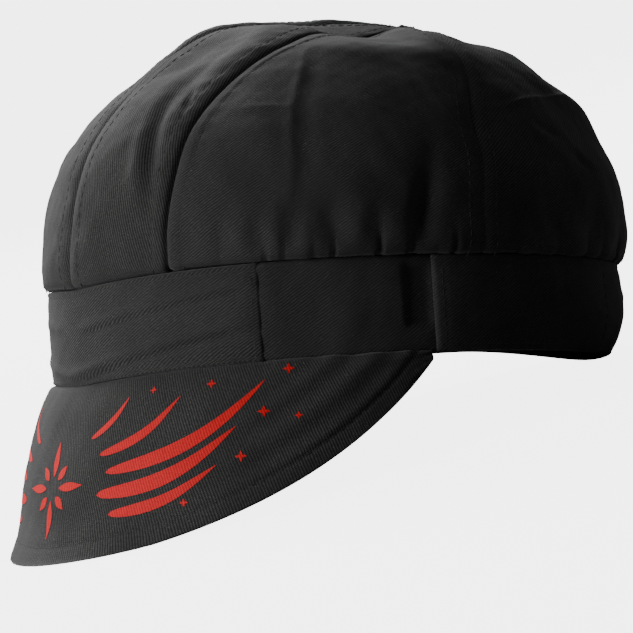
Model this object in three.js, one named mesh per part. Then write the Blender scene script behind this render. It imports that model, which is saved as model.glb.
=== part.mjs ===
// A soft cotton welding cap: a six-gore crown gathered into a band, with front and rear band pieces
// sewn over the ring and a long steep padded visor. Millimetres, +Z up, the front faces -Y and the
// wearer's left is +X. The cap rests on a surface on its visor's edge and the rear of its band.
import * as THREE from 'three';

// Driving dimensions of the band
const BAND_LENGTH = 208;
const BAND_WIDTH = 167;
const BAND_HEIGHT = 32;
const BAND_WALL = 2.2;
const BAND_PIECE_WALL = 1.4;
const BAND_ARCH = 3;
const BAND_ARCH_ANGLE = 60;
const REAR_HEM_PULL = 6.5;
const REAR_BULGE = 1.5;
const REAR_FALLOFF = 1.5;
const HEM_SHARE = 0.5;
const HEM_CURVE = 1.6;
const FRONT_PIECE_ANGLE = 47;
const REAR_PIECE_ANGLE = 80;

// Driving dimensions of the crown
const CROWN_RISE = 87;
const CROWN_FALL = 6.5;
const CROWN_WALL = 1.4;
const GORE_PUFF = 3;
const PUFF_LOWNESS = 0.75;
const PUFF_FULLNESS = 0.7;
const FOLD_DEPTH = 5;
const SEAM_TUCK = 6;

// Driving dimensions of the visor
const VISOR_LENGTH = 59;
const VISOR_WALL = 2.6;
const VISOR_ANGLE = 80;
const VISOR_SQUARENESS = 2.65;
const VISOR_ROOT_SLOPE = 62;
const VISOR_EDGE_SLOPE = 88;

// Gaps between sewn pieces, and how far the cloth is pressed flat where the cap rests
const GAP = 0.3;
const SEAM_GAP = 0.4;
const SETTLE = 1.2;

// Sections of the crown along its seams, from the band up to where the gores meet. Rise is a share of
// the crown's rise. Front and rear are shares of half the band's length, side of half its width.
const CROWN_SECTIONS = [
  { rise: 0.00, front: 0.985, rear: 0.985, side: 0.985 },
  { rise: 0.03, front: 0.998, rear: 1.005, side: 1.015 },
  { rise: 0.16, front: 1.000, rear: 1.050, side: 1.000 },
  { rise: 0.34, front: 0.964, rear: 1.014, side: 1.010 },
  { rise: 0.52, front: 0.884, rear: 0.957, side: 0.921 },
  { rise: 0.71, front: 0.722, rear: 0.895, side: 0.775 },
  { rise: 0.855, front: 0.560, rear: 0.705, side: 0.635 },
  { rise: 0.945, front: 0.410, rear: 0.520, side: 0.420 },
  { rise: 0.975, front: 0.150, rear: 0.420, side: 0.200 },
  { rise: 1.01, front: -0.33, rear: 0.330, side: 0.000 },
];

// The seams of the left half: where each leaves the band, in degrees round from the front, how much
// further round it has swung where the gores meet, and how late on its way up it does so.
const SEAMS = {
  front: { foot: 0, swing: 0, lateness: 1 },
  frontSide: { foot: 28, swing: 110, lateness: 3.4 },
  side: { foot: 90, swing: 60, lateness: 3.5 },
  rear: { foot: 180, swing: 0, lateness: 1 },
};

// The gores of the left half. Flatness is how evenly a gore puffs out between its two seams.
const GORES = [
  { name: 'crown_front', from: SEAMS.front, to: SEAMS.frontSide, flatness: 2, columns: 10 },
  { name: 'crown_side', from: SEAMS.frontSide, to: SEAMS.side, flatness: 3, columns: 32 },
  { name: 'crown_rear', from: SEAMS.side, to: SEAMS.rear, flatness: 3, columns: 18 },
];

// Folds, gathers and dents of the left half. Round is in degrees from the front, up is a share of the
// way from the band to where the gores meet, and wide and tall are how far a fold reaches each way from
// its middle, in the same measures. Lean is degrees further round for the whole way up. Depth is a
// share of a full fold's, and a negative one is a bulge.
const FOLDS = [
  { name: 'gather', round: 40, up: 0.05, wide: 2.2, tall: 0.05, lean: 10, depth: 0.35 },
  { name: 'gather', round: 47, up: 0.05, wide: 2.4, tall: 0.05, lean: 0, depth: 0.60 },
  { name: 'gather', round: 53, up: 0.05, wide: 2.2, tall: 0.06, lean: 5, depth: 0.65 },
  { name: 'gather', round: 61, up: 0.06, wide: 2.6, tall: 0.07, lean: -5, depth: 0.55 },
  { name: 'gather', round: 69, up: 0.05, wide: 2.4, tall: 0.06, lean: 5, depth: 0.55 },
  { name: 'deep fold', round: 78, up: 0.10, wide: 2.8, tall: 0.12, lean: 12, depth: 0.85 },
  { name: 'gather', round: 97, up: 0.05, wide: 3.0, tall: 0.07, lean: 8, depth: 0.45 },
  { name: 'gather', round: 108, up: 0.05, wide: 3.4, tall: 0.08, lean: -8, depth: 0.50 },
  { name: 'gather', round: 121, up: 0.05, wide: 3.6, tall: 0.09, lean: 10, depth: 0.50 },
  { name: 'gather', round: 136, up: 0.05, wide: 4.0, tall: 0.08, lean: -6, depth: 0.50 },
  { name: 'gather', round: 153, up: 0.05, wide: 4.0, tall: 0.09, lean: 6, depth: 0.45 },
  { name: 'gather', round: 169, up: 0.05, wide: 4.0, tall: 0.07, lean: 0, depth: 0.40 },
  { name: 'shoulder dent', round: 16, up: 0.56, wide: 13, tall: 0.14, lean: 40, depth: 0.90 },
  { name: 'seam fold', round: 21, up: 0.40, wide: 4.0, tall: 0.16, lean: 25, depth: 0.55 },
  { name: 'rear dent', round: 130, up: 0.70, wide: 12, tall: 0.06, lean: 40, depth: 0.80 },
  { name: 'rear roll', round: 136, up: 0.59, wide: 13, tall: 0.05, lean: 40, depth: -0.35 },
  { name: 'soft hollow', round: 118, up: 0.40, wide: 12, tall: 0.14, lean: 0, depth: 0.40 },
];

// How finely the sheets are cut
const BAND_COLUMNS = 96;
const BAND_ROWS = 3;
const CROWN_ROWS = 12;
const CROWN_ROW_CROWDING = 1.5;
const VISOR_COLUMNS = 34;
const VISOR_ROWS = 6;
const CROWN_TOP = 0.985;
const VISOR_END_SHARE = 0.985;
const SMALL_STEP = 1e-3;

// Folds die out at the crown's foot and next to a seam, in shares of the way up and of the full bulge
const FOLD_FOOT = 0.03;
const FOLD_SEAM = 0.25;

const { clamp, degToRad, lerp } = THREE.MathUtils;
const halfLength = BAND_LENGTH / 2;
const halfWidth = BAND_WIDTH / 2;

// A plain grid of points, as columns by rows
function grid(columns, rows, pointAt) {
  const points = [];
  for (let row = 0; row <= rows; row += 1) {
    for (let column = 0; column <= columns; column += 1) {
      points.push(pointAt(column / columns, row));
    }
  }
  return points;
}

// A cloth wall between an outer and an inner sheet of the same grid. Columns run round from the
// front towards the left, rows run upwards, and a whole ring joins its last column to its first.
function clothWall(columns, rows, outerAt, innerAt, ring = false) {
  const points = [...grid(columns, rows, outerAt), ...grid(columns, rows, innerAt)];
  const sheet = (columns + 1) * (rows + 1);
  const outer = (column, row) => row * (columns + 1) + (ring ? column % columns : column);
  const inner = (column, row) => sheet + outer(column, row);
  const faces = [];
  const quad = (a, b, c, d) => faces.push(a, b, c, a, c, d);
  for (let column = 0; column < columns; column += 1) {
    const next = column + 1;
    for (let row = 0; row < rows; row += 1) {
      const above = row + 1;
      quad(outer(column, row), outer(next, row), outer(next, above), outer(column, above));
      quad(inner(next, row), inner(column, row), inner(column, above), inner(next, above));
    }
    quad(inner(column, 0), inner(next, 0), outer(next, 0), outer(column, 0));
    quad(outer(column, rows), outer(next, rows), inner(next, rows), inner(column, rows));
  }
  for (let row = 0; row < rows && !ring; row += 1) {
    const above = row + 1;
    quad(inner(0, row), outer(0, row), outer(0, above), inner(0, above));
    quad(outer(columns, row), inner(columns, row), inner(columns, above), outer(columns, above));
  }
  return { points, faces };
}

// The band's edges rise a little over the temples, and are lowest in front and behind
function bandArch(angle) {
  const skew = Math.log(0.5) / Math.log(BAND_ARCH_ANGLE / 180);
  const share = Math.abs(Math.atan2(Math.sin(angle), Math.cos(angle))) / Math.PI;
  return BAND_ARCH * Math.sin(Math.PI * share ** skew) ** 2;
}

// A point of the band's ring, standing out from its face by so much. The rear of the ring bulges a
// little and its hem is pulled in.
function bandPoint(angle, height, out) {
  const rearness = Math.max(0, -Math.cos(angle)) ** REAR_FALLOFF;
  const hem = Math.max(0, 1 - height / HEM_SHARE) ** HEM_CURVE;
  const pull = rearness * (REAR_HEM_PULL * hem - REAR_BULGE * Math.sin(Math.PI * height));
  const facing = new THREE.Vector3(Math.sin(angle) / halfWidth, -Math.cos(angle) / halfLength, 0);
  return new THREE.Vector3(halfWidth * Math.sin(angle), -halfLength * Math.cos(angle), 0)
    .addScaledVector(facing.normalize(), out - pull).setZ(height * BAND_HEIGHT + bandArch(angle));
}

// Distances along the crown's sections, as shares from the band to where the gores meet
function sectionPlaces() {
  const places = [0];
  for (let index = 1; index < CROWN_SECTIONS.length; index += 1) {
    const [below, above] = [CROWN_SECTIONS[index - 1], CROWN_SECTIONS[index]];
    const inward = (below.front + below.rear - above.front - above.rear) / 2 * halfLength;
    const upward = (above.rise - below.rise) * CROWN_RISE;
    places.push(places[index - 1] + Math.hypot(inward, upward));
  }
  return places.map((place) => place / places[places.length - 1]);
}
const crownPlaces = sectionPlaces();

// One column of the section table, read smoothly between its rows
function sectionValue(column, up) {
  const last = CROWN_SECTIONS.length - 1;
  let index = 0;
  while (index < last - 1 && crownPlaces[index + 1] <= up) index += 1;
  const value = (row) => CROWN_SECTIONS[row][column];
  const slope = (row) => {
    const [before, after] = [Math.max(0, row - 1), Math.min(last, row + 1)];
    return (value(after) - value(before)) / (crownPlaces[after] - crownPlaces[before]);
  };
  const span = crownPlaces[index + 1] - crownPlaces[index];
  const u = (up - crownPlaces[index]) / span;
  return (2 * u ** 3 - 3 * u ** 2 + 1) * value(index) + (u ** 3 - 2 * u ** 2 + u) * span * slope(index)
    + (3 * u ** 2 - 2 * u ** 3) * value(index + 1) + (u ** 3 - u ** 2) * span * slope(index + 1);
}

// A point of the crown's seam surface, the smooth form that all the seams lie in
function seamSurface(angle, up) {
  const front = sectionValue('front', up);
  const rear = sectionValue('rear', up);
  const rise = sectionValue('rise', up);
  const y = halfLength * ((rear - front) / 2 - (rear + front) / 2 * Math.cos(angle));
  const fall = CROWN_FALL * clamp(rise, 0, 1) * y / halfLength;
  const x = halfWidth * sectionValue('side', up) * Math.sin(angle);
  const foot = BAND_HEIGHT + 2 * GAP + bandArch(angle) * (1 - rise);
  return new THREE.Vector3(x, y, foot + CROWN_RISE * rise - fall);
}

// The way that the seam surface faces
function seamSurfaceFacing(angle, up) {
  const low = clamp(up, 0, CROWN_TOP);
  const across = seamSurface(angle + SMALL_STEP, low).sub(seamSurface(angle - SMALL_STEP, low));
  const along = seamSurface(angle, low + SMALL_STEP).sub(seamSurface(angle, low));
  return across.cross(along).normalize();
}

function seamAngle(seam, up) {
  return degToRad(seam.foot + seam.swing * clamp(up, 0, 1) ** seam.lateness);
}

// How far a fold or dent sinks the cloth at a place on the left half, as a share of a full fold
function foldDepth(angle, up) {
  const round = THREE.MathUtils.radToDeg(Math.abs(angle));
  let depth = 0;
  for (const fold of FOLDS) {
    const across = (round - fold.round - fold.lean * (up - fold.up)) / fold.wide;
    const along = (up - fold.up) / fold.tall;
    depth += fold.depth * Math.exp(-(across ** 2) - along ** 2);
  }
  return depth;
}

// A gore of the crown. Its two lowest rows are the seam allowance, tucked down inside the band.
function goreWall(gore, side) {
  const tuckRows = 2;
  const surfaceAt = (share, row, sunk) => {
    const up = row < tuckRows ? 0 : CROWN_TOP * ((row - tuckRows) / CROWN_ROWS) ** CROWN_ROW_CROWDING;
    const narrow = Math.min(halfWidth * sectionValue('side', up),
      halfLength * (sectionValue('front', up) + sectionValue('rear', up)) / 2);
    const edge = SEAM_GAP / 2 / narrow;
    const across = side > 0 ? share : 1 - share;
    const angle = side * lerp(seamAngle(gore.from, up) + edge, seamAngle(gore.to, up) - edge, across);
    if (row < tuckRows) {
      const height = row === 0 ? 1 - SEAM_TUCK / BAND_HEIGHT : 1 + GAP / BAND_HEIGHT;
      return bandPoint(angle, height, -BAND_WALL - GAP - sunk);
    }
    const bulge = 1 - Math.abs(2 * across - 1) ** gore.flatness;
    const swell = Math.sin(Math.PI * up ** PUFF_LOWNESS) ** PUFF_FULLNESS;
    const fade = Math.min(1, bulge / FOLD_SEAM) * Math.min(1, up / FOLD_FOOT);
    const out = GORE_PUFF * bulge * swell - FOLD_DEPTH * fade * foldDepth(angle, up);
    return seamSurface(angle, up).addScaledVector(seamSurfaceFacing(angle, up), out - sunk);
  };
  return clothWall(gore.columns, CROWN_ROWS + tuckRows,
    (share, row) => surfaceAt(share, row, 0), (share, row) => surfaceAt(share, row, CROWN_WALL));
}

function bandWall() {
  const at = (out) => (share, row) => bandPoint(2 * Math.PI * share, row / BAND_ROWS, out);
  return clothWall(BAND_COLUMNS, BAND_ROWS, at(0), at(-BAND_WALL), true);
}

// A piece sewn over the band's ring, from one angle round to another
function bandPieceWall(from, to) {
  const columns = Math.round(BAND_COLUMNS * (to - from) / 360);
  const at = (out) => (share, row) => bandPoint(degToRad(lerp(from, to, share)), row / BAND_ROWS, out);
  return clothWall(columns, BAND_ROWS, at(GAP + BAND_PIECE_WALL), at(GAP));
}

// How long the visor is at an angle: longest in front, and nothing at its two ends
function visorReach(angle) {
  return VISOR_LENGTH * (1 - Math.abs(angle / degToRad(VISOR_ANGLE)) ** VISOR_SQUARENESS);
}

// The visor hangs from under the band. It leaves it at one slope and curves over to a steeper one.
function visorPoint(angle, down, sunk) {
  const slope = degToRad(lerp(VISOR_ROOT_SLOPE, VISOR_EDGE_SLOPE, down / 2));
  const facing = degToRad(lerp(VISOR_ROOT_SLOPE, VISOR_EDGE_SLOPE, down));
  const out = visorReach(angle) * down * Math.cos(slope) - sunk * Math.sin(facing);
  const drop = visorReach(angle) * down * Math.sin(slope) + sunk * Math.cos(facing) + GAP;
  return bandPoint(angle, 0, GAP + BAND_PIECE_WALL + out).setZ(bandArch(angle) - drop);
}

function visorWall() {
  const end = degToRad(VISOR_ANGLE) * VISOR_END_SHARE;
  const at = (sunk) => (share, row) => visorPoint(lerp(-end, end, share), 1 - row / VISOR_ROWS, sunk);
  return clothWall(VISOR_COLUMNS, VISOR_ROWS, at(0), at(VISOR_WALL));
}

// The surface that the cap rests on, in the cap's own frame as it is worn: through the visor's edge
// in front and the hem of the rear piece, and then up by what the cloth is pressed flat.
function restingPlane() {
  const edge = visorPoint(0, 1, VISOR_WALL);
  const hem = bandPoint(Math.PI, 0, GAP + BAND_PIECE_WALL);
  const slope = Math.atan2(hem.z - edge.z, hem.y - edge.y);
  const normal = new THREE.Vector3(0, -Math.sin(slope), Math.cos(slope));
  const plane = new THREE.Plane().setFromNormalAndCoplanarPoint(normal, hem);
  plane.constant -= SETTLE;
  return { plane, slope };
}
const rest = restingPlane();

// A mesh of a cloth wall, pressed flat where it would reach below the surface it rests on
function clothMesh(name, { points, faces }, material) {
  for (const point of points) {
    const height = rest.plane.distanceToPoint(point);
    if (height < 0) point.addScaledVector(rest.plane.normal, -height);
  }
  const geometry = new THREE.BufferGeometry().setFromPoints(points);
  geometry.setIndex(faces);
  geometry.computeVertexNormals();
  const mesh = new THREE.Mesh(geometry, material);
  mesh.name = name;
  return mesh;
}

const blackTwill = () => new THREE.MeshStandardMaterial({ color: '#2b2c2c', roughness: 0.9, metalness: 0 });

const worn = new THREE.Group();
for (const gore of GORES) {
  worn.add(clothMesh(`${gore.name}_left`, goreWall(gore, 1), blackTwill()));
  worn.add(clothMesh(`${gore.name}_right`, goreWall(gore, -1), blackTwill()));
}
worn.add(clothMesh('band', bandWall(), blackTwill()));
worn.add(clothMesh('front_band', bandPieceWall(-FRONT_PIECE_ANGLE, FRONT_PIECE_ANGLE), blackTwill()));
worn.add(clothMesh('rear_band',
  bandPieceWall(REAR_PIECE_ANGLE, 360 - REAR_PIECE_ANGLE), blackTwill()));
worn.add(clothMesh('visor', visorWall(), blackTwill()));

// Tilted back onto its visor and rear hem, with the origin on the surface under the middle of its box
worn.rotation.x = -rest.slope;
const cap = new THREE.Group();
cap.add(worn);
cap.updateMatrixWorld(true);
const box = new THREE.Box3().setFromObject(cap, true);
worn.position.set(0, -(box.min.y + box.max.y) / 2, -box.min.z);

export default cap;
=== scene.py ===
# A soft black cotton welding cap, dressed around its CAD frame: a six-gore crown gathered into a band,
# front and rear band pieces sewn over the ring, and a long steep padded visor with a red print.
import math

import bmesh
import bpy
import numpy as np
from mathutils import Matrix, Vector


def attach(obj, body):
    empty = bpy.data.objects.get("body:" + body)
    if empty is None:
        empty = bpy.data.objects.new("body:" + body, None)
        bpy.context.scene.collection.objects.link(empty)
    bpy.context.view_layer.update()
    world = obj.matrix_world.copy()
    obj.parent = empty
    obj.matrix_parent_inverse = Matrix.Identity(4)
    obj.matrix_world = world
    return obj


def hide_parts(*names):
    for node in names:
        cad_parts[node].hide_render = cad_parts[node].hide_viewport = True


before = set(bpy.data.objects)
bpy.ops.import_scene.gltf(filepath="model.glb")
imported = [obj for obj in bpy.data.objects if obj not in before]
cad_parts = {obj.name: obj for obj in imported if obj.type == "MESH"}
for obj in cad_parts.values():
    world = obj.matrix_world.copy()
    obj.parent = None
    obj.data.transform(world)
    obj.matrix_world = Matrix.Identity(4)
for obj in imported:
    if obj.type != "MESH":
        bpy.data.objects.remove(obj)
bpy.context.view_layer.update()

# The black cotton twill that every panel is cut from. Its diagonal wales are worn a little grey on
# their tops, its yarns are uneven, and fine lint lies on it. The weave follows each panel's own cut.
WALE_PITCH = 0.00086
YARN_PITCH = 0.00056
WALE_WANDER = 3.4
WALE_HEIGHT = 0.33
FLOAT_HEIGHT = 0.17
SLUB_HEIGHT = 0.95
BASE_HEIGHT = 0.18
LINT_SHARE = 0.735
LINTY_PATCHES = 0.47
DARK_TWILL = (0.0070, 0.0071, 0.0074)
WORN_TWILL = (0.073, 0.072, 0.068)
FADED = (0.62, 0.62, 0.63)
UNFADED = (1.0, 1.0, 1.0)
LINT = (0.085, 0.085, 0.083)


def fill_in(node, values):
    for name, value in values.items():
        node.inputs[name].default_value = value


def twill_group():
    """Twill on a panel's cut_cloth map, in metres: the weave's height, its worn tops and its soiling."""
    group = bpy.data.node_groups.new("twill_weave", "ShaderNodeTree")
    for name, kind, value in [("Lean", "NodeSocketFloat", 0.6), ("WearAndPaintedLight", "NodeSocketFloat", 0.5)]:
        group.interface.new_socket(name, in_out="INPUT", socket_type=kind).default_value = value
    for name in ["Height", "Tops", "Blotches", "Lint"]:
        group.interface.new_socket(name, in_out="OUTPUT", socket_type="NodeSocketFloat")
    nodes, links = group.nodes, group.links
    given, result = nodes.new("NodeGroupInput"), nodes.new("NodeGroupOutput")
    cut = nodes.new("ShaderNodeUVMap")
    cut.uv_map = "cut_cloth"
    parts = nodes.new("ShaderNodeSeparateXYZ")
    links.new(cut.outputs[0], parts.inputs[0])

    def math_node(operation, *values):
        node = nodes.new("ShaderNodeMath")
        node.operation = operation
        for socket, value in zip(node.inputs, values):
            if isinstance(value, (int, float)):
                socket.default_value = value
            else:
                links.new(value, socket)
        return node.outputs[0]

    def noise(scale, detail, stretch=(1, 1, 1)):
        placed = nodes.new("ShaderNodeMapping")
        fill_in(placed, {"Scale": stretch})
        links.new(cut.outputs[0], placed.inputs["Vector"])
        node = nodes.new("ShaderNodeTexNoise")
        fill_in(node, {"Scale": scale, "Detail": detail})
        links.new(placed.outputs[0], node.inputs["Vector"])
        return node.outputs[0]

    lean_cos = math_node("COSINE", given.outputs["Lean"])
    lean_sin = math_node("SINE", given.outputs["Lean"])
    along = math_node("ADD", math_node("MULTIPLY", parts.outputs[0], lean_cos),
                      math_node("MULTIPLY", parts.outputs[1], lean_sin))
    across = math_node("SUBTRACT", math_node("MULTIPLY", parts.outputs[1], lean_cos),
                       math_node("MULTIPLY", parts.outputs[0], lean_sin))
    wander = math_node("MULTIPLY", noise(330, 2), WALE_WANDER)
    wale_turns = math_node("MULTIPLY", across, 2 * math.pi / WALE_PITCH)
    wales = math_node("SINE", math_node("ADD", wale_turns, wander))
    stagger = math_node("MULTIPLY", across, math.pi / WALE_PITCH)
    yarn_turns = math_node("MULTIPLY", along, 2 * math.pi / YARN_PITCH)
    floats = math_node("SINE", math_node("ADD", yarn_turns, stagger))
    slubs = math_node("MULTIPLY", noise(1100, 3, (0.7, 1.5, 1)), SLUB_HEIGHT)
    ribs = math_node("MULTIPLY", wales, WALE_HEIGHT)
    ribs = math_node("ADD", ribs, math_node("MULTIPLY", floats, FLOAT_HEIGHT))
    height = math_node("ADD", math_node("ADD", ribs, BASE_HEIGHT), slubs)
    links.new(height, result.inputs["Height"])
    patches = noise(38, 4)
    strength = math_node("MULTIPLY", math_node("ADD", patches, 0.25), given.outputs["WearAndPaintedLight"])
    tops = math_node("MULTIPLY", math_node("POWER", math_node("MULTIPLY", height, 0.9), 2.0), strength)
    links.new(tops, result.inputs["Tops"])
    links.new(noise(16, 5), result.inputs["Blotches"])
    specks = math_node("GREATER_THAN", noise(2600, 1, (0.6, 1.5, 1)), LINT_SHARE)
    linty = math_node("GREATER_THAN", patches, LINTY_PATCHES)
    links.new(math_node("MULTIPLY", specks, linty), result.inputs["Lint"])
    return group


twill_weave = twill_group()


def dull_material(name, roughness, specular):
    """A material, its nodes and links, and its shader."""
    material = bpy.data.materials.new(name)
    material.use_nodes = True
    finish = material.node_tree.nodes["Principled BSDF"]
    fill_in(finish, {"Roughness": roughness, "Specular IOR Level": specular})
    return material, material.node_tree.nodes, material.node_tree.links, finish


def twill_material(name, lean_degrees, wear_and_painted_light=0.5):
    """A finish of twill whose wales rise at that lean over the panel's cut, with their tops worn grey by so
    much. The front pieces get more of that grey: partly wear, partly painted light where the lamp falls on
    the cap's front.
    """
    material, nodes, links, cloth = dull_material(name, 0.9, 0.07)
    fill_in(cloth, {"Sheen Weight": 0.07, "Sheen Roughness": 0.45, "Sheen Tint": (0.75, 0.76, 0.78, 1)})
    weave = nodes.new("ShaderNodeGroup")
    weave.node_tree = twill_weave
    fill_in(weave, {"Lean": math.radians(lean_degrees), "WearAndPaintedLight": wear_and_painted_light})

    # The Mix node has a pair of sockets for each kind of value, so its colours are found by kind
    def mixed_colour(factor, first, second, blend="MIX"):
        mix = nodes.new("ShaderNodeMix")
        mix.data_type = "RGBA"
        mix.blend_type = blend
        share = next(s for s in mix.inputs if s.type == "VALUE" and s.enabled)
        colours = [s for s in mix.inputs if s.type == "RGBA"]
        for socket, value in zip([share, *colours], [factor, first, second]):
            if isinstance(value, bpy.types.NodeSocket):
                links.new(value, socket)
            else:
                socket.default_value = (*value, 1) if isinstance(value, tuple) else value
        return next(s for s in mix.outputs if s.type == "RGBA")

    colour = mixed_colour(weave.outputs["Tops"], DARK_TWILL, WORN_TWILL)
    faded = mixed_colour(weave.outputs["Blotches"], FADED, UNFADED)
    shaded = mixed_colour(1, colour, faded, "MULTIPLY")
    linted = mixed_colour(weave.outputs["Lint"], shaded, LINT)
    links.new(linted, cloth.inputs["Base Color"])
    bump = nodes.new("ShaderNodeBump")
    fill_in(bump, {"Strength": 0.5, "Distance": 0.00022})
    links.new(weave.outputs["Height"], bump.inputs["Height"])
    links.new(bump.outputs["Normal"], cloth.inputs["Normal"])
    return material


# The band's ring: a folded strip of twill that every other piece is sewn to. It is lowest in front
# and behind, its rear bulges a little, and its hem is drawn in there by the wearer's size tape.
BAND_LENGTH = 208
BAND_WIDTH = 167
BAND_HEIGHT = 32
BAND_WALL = 2.2
BAND_ARCH = 3
BAND_ARCH_ANGLE = 60
REAR_HEM_PULL = 6.5
REAR_BULGE = 1.5
REAR_FALLOFF = 1.5
HEM_SHARE = 0.5
HEM_CURVE = 1.6
BAND_ROLL = 1.1
BAND_COLUMNS = 520

# How the cap lies. Its pieces are drawn in millimetres as they are worn, around the middle of the
# band's lower edge. The cap is then tilted back onto its visor's edge and the hem of its rear band,
# and its cloth is pressed flat where it would reach below the surface.
REST_TILT = math.radians(14.774)
WORN_ORIGIN = np.array([0, 6.785, 24.097])

# The soft hem behind the wearer's right ear has ridden up by so many millimetres, together with the
# crown's foot. It starts, is full, falls and ends at these degrees round from the front, towards the
# left, and fades out between two heights.
HEM_LIFT = 7.4
LIFT_START = 165
LIFT_FULL = 210
LIFT_FALLS = 232
LIFT_END = 275
LIFT_LOW = 32
LIFT_HIGH = 88


def smooth_step(low, high, value):
    u = np.clip((value - low) / (high - low), 0, 1)
    return u * u * (3 - 2 * u)


def lay_down(points):
    """Worn millimetres to metres in the row frame."""
    x, y, z = points[..., 0], points[..., 1], points[..., 2]
    degrees = np.degrees(np.arctan2(x, -y)) % 360
    lifted = smooth_step(LIFT_START, LIFT_FULL, degrees) * (1 - smooth_step(LIFT_FALLS, LIFT_END, degrees))
    z = z + HEM_LIFT * lifted * (1 - smooth_step(LIFT_LOW, LIFT_HIGH, z))
    across = y * math.cos(REST_TILT) + z * math.sin(REST_TILT)
    above = z * math.cos(REST_TILT) - y * math.sin(REST_TILT)
    laid = np.stack([x, across, above], -1) + WORN_ORIGIN
    laid[..., 2] = np.maximum(laid[..., 2], 0)
    return laid / 1000


def spaced(length, step, roll):
    """Places from 0 to a length about a step apart, and closer where the cloth rolls over its ends."""
    rolling = roll * (1 - np.cos(np.linspace(0, math.pi / 2, 4)[:-1]))
    middle = np.linspace(roll, length - roll, max(2, round((length - 2 * roll) / step) + 1))
    return np.concatenate([rolling, middle, length - rolling[::-1]])


def rolled(place, length, roll):
    """How full the cloth is beside its edges: 0 on an edge, 1 where the roll is past."""
    near = np.clip(np.minimum(place, length - place) / roll, 0, 1)
    return np.sqrt(1 - (1 - near) ** 2)


def soft_noise(points, size, seed, waves=10):
    """A soft random swell of the cloth, about -1 to 1, in waves of that many millimetres."""
    draws = np.random.default_rng(seed)
    total = 0
    for _ in range(waves):
        way = draws.normal(size=3)
        way *= 2 * math.pi / (np.linalg.norm(way) * size * draws.uniform(0.8, 1.6))
        total = total + np.sin(points @ way + draws.uniform(0, 2 * math.pi))
    return total / math.sqrt(2 * waves)


def cloth_waves(points, waves):
    """Soft swells on top of each other, each given as its height, its length and its seed."""
    return sum(height * soft_noise(points, length, seed) for height, length, seed in waves)


def bell(distance, width):
    return np.exp(-(distance / width) ** 2)


def lengths_along(points, axis):
    """How far along a grid's rows or columns each of its points lies, in millimetres."""
    stretch = np.linalg.norm(np.diff(points, axis=axis), axis=-1)
    start = np.zeros_like(np.take(stretch, [0], axis=axis))
    return np.concatenate([start, np.cumsum(stretch, axis=axis)], axis=axis)


def laid_out(name, data):
    """An object in the scene, at the origin."""
    item = bpy.data.objects.new(name, data)
    bpy.context.scene.collection.objects.link(item)
    return item


def grid_faces(shape, start=0):
    """The faces of a grid whose points are numbered row by row from a start."""
    index = start + np.arange(shape[0] * shape[1]).reshape(shape)
    return np.stack([index[:-1, :-1], index[:-1, 1:], index[1:, 1:], index[1:, :-1]], -1).reshape(-1, 4)


def cut_mesh(name, points, faces, cut):
    """A mesh and its shell, from points in metres. cut is each point's place on the panel as it was
    cut, in millimetres, for the weave."""
    mesh = bpy.data.meshes.new(name)
    mesh.from_pydata(points.tolist(), [], faces.tolist())
    cut_cloth = mesh.uv_layers.new(name="cut_cloth")
    cut_cloth.data.foreach_set("uv", cut[faces.ravel()].ravel() / 1000)
    shell = bmesh.new()
    shell.from_mesh(mesh)
    bmesh.ops.remove_doubles(shell, verts=shell.verts, dist=2e-6)
    return mesh, shell


def sewn_up(mesh, shell, material):
    """The object of a mesh whose shell is ready."""
    shell.to_mesh(mesh)
    shell.free()
    mesh.shade_smooth()
    mesh.materials.append(material)
    return laid_out(mesh.name, mesh)


def cloth_piece(name, outer, inner, cut, material):
    """A closed piece of cloth between the grids of its outer and inner faces, which meet at their edges.

    Columns run round from the front towards the left, and rows run upwards."""
    points = lay_down(np.concatenate([outer.reshape(-1, 3), inner.reshape(-1, 3)]))
    quads = grid_faces(outer.shape[:2])
    faces = np.concatenate([quads, quads[:, ::-1] + len(points) // 2])
    mesh, shell = cut_mesh(name, points, faces, np.tile(cut.reshape(-1, 2), (2, 1)))
    bmesh.ops.dissolve_degenerate(shell, edges=shell.edges, dist=1e-7)
    return sewn_up(mesh, shell, material)


def finish_cloth(piece, *nodes):
    """A cloth piece stands for its CAD nodes and lies still with the cap."""
    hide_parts(*nodes)
    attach(piece, "root")


half_length = BAND_LENGTH / 2
half_width = BAND_WIDTH / 2


def band_arch(angle):
    skew = math.log(0.5) / math.log(BAND_ARCH_ANGLE / 180)
    share = np.abs(np.arctan2(np.sin(angle), np.cos(angle))) / math.pi
    return BAND_ARCH * np.sin(math.pi * share ** skew) ** 2


def band_point(angle, height, out):
    """Points of the ring at shares of the band's height, standing out from its face by so much."""
    rearness = np.maximum(0, -np.cos(angle)) ** REAR_FALLOFF
    hem = np.maximum(0, 1 - height / HEM_SHARE) ** HEM_CURVE
    pull = rearness * (REAR_HEM_PULL * hem - REAR_BULGE * np.sin(math.pi * height))
    facing = np.stack([np.sin(angle) / half_width, -np.cos(angle) / half_length], -1)
    facing = facing / np.linalg.norm(facing, axis=-1, keepdims=True)
    x = half_width * np.sin(angle) + facing[..., 0] * (out - pull)
    y = -half_length * np.cos(angle) + facing[..., 1] * (out - pull)
    return np.stack(np.broadcast_arrays(x, y, height * BAND_HEIGHT + band_arch(angle)), -1)


# Size tape slots: a sunk strip of the ring that shows just ahead of the rear piece on each side. The
# ring also swells a little under and beside the ends of the front piece.
SLOT_ANGLE = 77.2
SLOT_HALF = 2.3
SLOT_LOW = 0.26
SLOT_HIGH = 0.90
SLOT_SINK = 1.25
SLOT_EDGE = 0.4
SLOT_EDGE_SHARE = 0.03
RING_SWELL = 0.85
RING_SWELL_ANGLE = 47.5
RING_SWELL_REACH = 5
RING_WAVES = [(0.16, 17, 3), (0.07, 6, 4)]


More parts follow.
